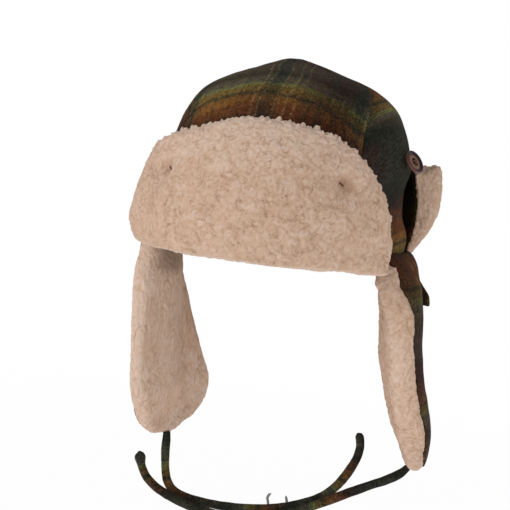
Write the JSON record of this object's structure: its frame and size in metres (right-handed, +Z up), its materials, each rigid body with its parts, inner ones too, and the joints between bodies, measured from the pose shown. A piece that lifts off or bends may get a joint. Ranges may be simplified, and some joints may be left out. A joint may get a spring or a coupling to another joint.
{
  "type": "aviator hat",
  "caption": "Soft aviator hat of tartan wool: panelled crown, fleece-faced front and neck flaps turned up, hanging ear flaps with tabs, and sewn chin ties.",
  "frame": {"origin": "middle of the head opening, level with the lower edge of the crown", "axes": "+Z up through the peak of the crown, -Y out of the forehead, +X to the wearer's left"},
  "size_m": [0.2228, 0.2465, 0.3273],
  "materials": {
    "wool": "brushed woven wool in a dark green, maroon, rust and gold tartan",
    "fleece": "curly tan fleece pile",
    "button": "dark brown with a polished rim"
  },
  "bodies": {
    "root": {"crown_front_panel": "wool", "crown_left_panel": "wool", "crown_back_panel": "wool", "crown_right_panel": "wool", "front_flap_shell": "wool", "front_flap_fleece": "fleece", "back_flap_shell": "wool", "back_flap_fleece": "fleece", "ear_flap_left_shell": "wool", "ear_flap_left_fleece": "fleece", "ear_flap_left_tab": "wool", "ear_flap_right_shell": "wool", "ear_flap_right_fleece": "fleece", "ear_flap_right_tab": "wool", "button_left": "button", "button_right": "button", "tie_left": "wool", "tie_right": "wool"}
  },
  "joints": []
}
